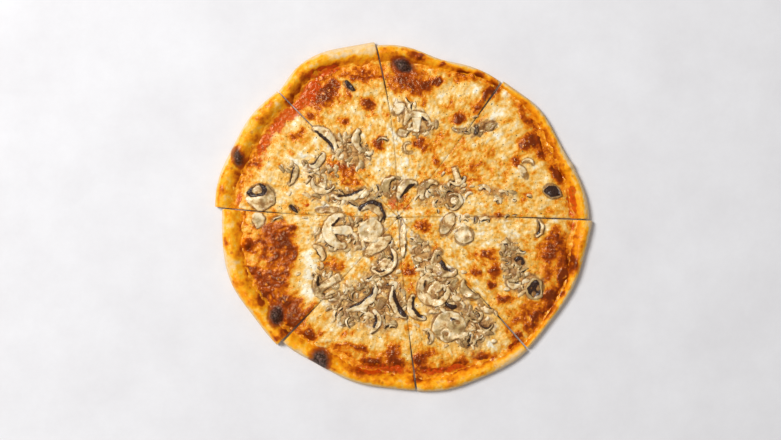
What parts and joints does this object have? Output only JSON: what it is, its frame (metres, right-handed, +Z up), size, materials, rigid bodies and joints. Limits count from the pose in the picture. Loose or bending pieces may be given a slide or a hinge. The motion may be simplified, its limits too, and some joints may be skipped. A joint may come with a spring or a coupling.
{
  "type": "mushroom pizza",
  "caption": "Thin round pizza with a browned rim, tomato sauce, melted cheese and slices of mushroom, cut into wedges that still lie together.",
  "frame": {"origin": "on the surface that the pizza lies on, under the middle of its outline", "axes": "+Z up, out of the toppings; +X along the pizza's longest way across"},
  "size_m": [0.3471, 0.3214, 0.015],
  "materials": {
    "crust": "matte",
    "sauce": "semi-gloss",
    "cheese": "semi-gloss",
    "mushroom": "satin"
  },
  "bodies": {
    "root": {"slice_1_crust": "crust", "slice_1_sauce": "sauce", "slice_1_cheese": "cheese", "slice_2_crust": "crust", "slice_2_sauce": "sauce", "slice_2_cheese": "cheese", "slice_3_crust": "crust", "slice_3_sauce": "sauce", "slice_3_cheese": "cheese", "slice_4_crust": "crust", "slice_4_sauce": "sauce", "slice_4_cheese": "cheese", "slice_5_crust": "crust", "slice_5_sauce": "sauce", "slice_5_cheese": "cheese", "slice_6_crust": "crust", "slice_6_sauce": "sauce", "slice_6_cheese": "cheese", "slice_7_crust": "crust", "slice_7_sauce": "sauce", "slice_7_cheese": "cheese", "slice_8_crust": "crust", "slice_8_sauce": "sauce", "slice_8_cheese": "cheese", "mushroom_01": "mushroom", "mushroom_02": "mushroom", "mushroom_03": "mushroom", "mushroom_04": "mushroom", "mushroom_05": "mushroom", "mushroom_06": "mushroom", "mushroom_07": "mushroom", "mushroom_08": "mushroom", "mushroom_09": "mushroom", "mushroom_10": "mushroom", "mushroom_11": "mushroom", "mushroom_12": "mushroom", "mushroom_13": "mushroom", "mushroom_14": "mushroom", "mushroom_15": "mushroom", "mushroom_16": "mushroom", "mushroom_17": "mushroom", "mushroom_18": "mushroom", "mushroom_19": "mushroom", "mushroom_20": "mushroom", "mushroom_21": "mushroom", "mushroom_22": "mushroom", "mushroom_23": "mushroom", "mushroom_24": "mushroom", "mushroom_25": "mushroom", "mushroom_26": "mushroom", "mushroom_27": "mushroom", "mushroom_28": "mushroom", "mushroom_29": "mushroom", "mushroom_30": "mushroom", "mushroom_31": "mushroom", "mushroom_32": "mushroom", "mushroom_33": "mushroom", "mushroom_34": "mushroom", "mushroom_35": "mushroom", "mushroom_36": "mushroom"}
  },
  "joints": []
}
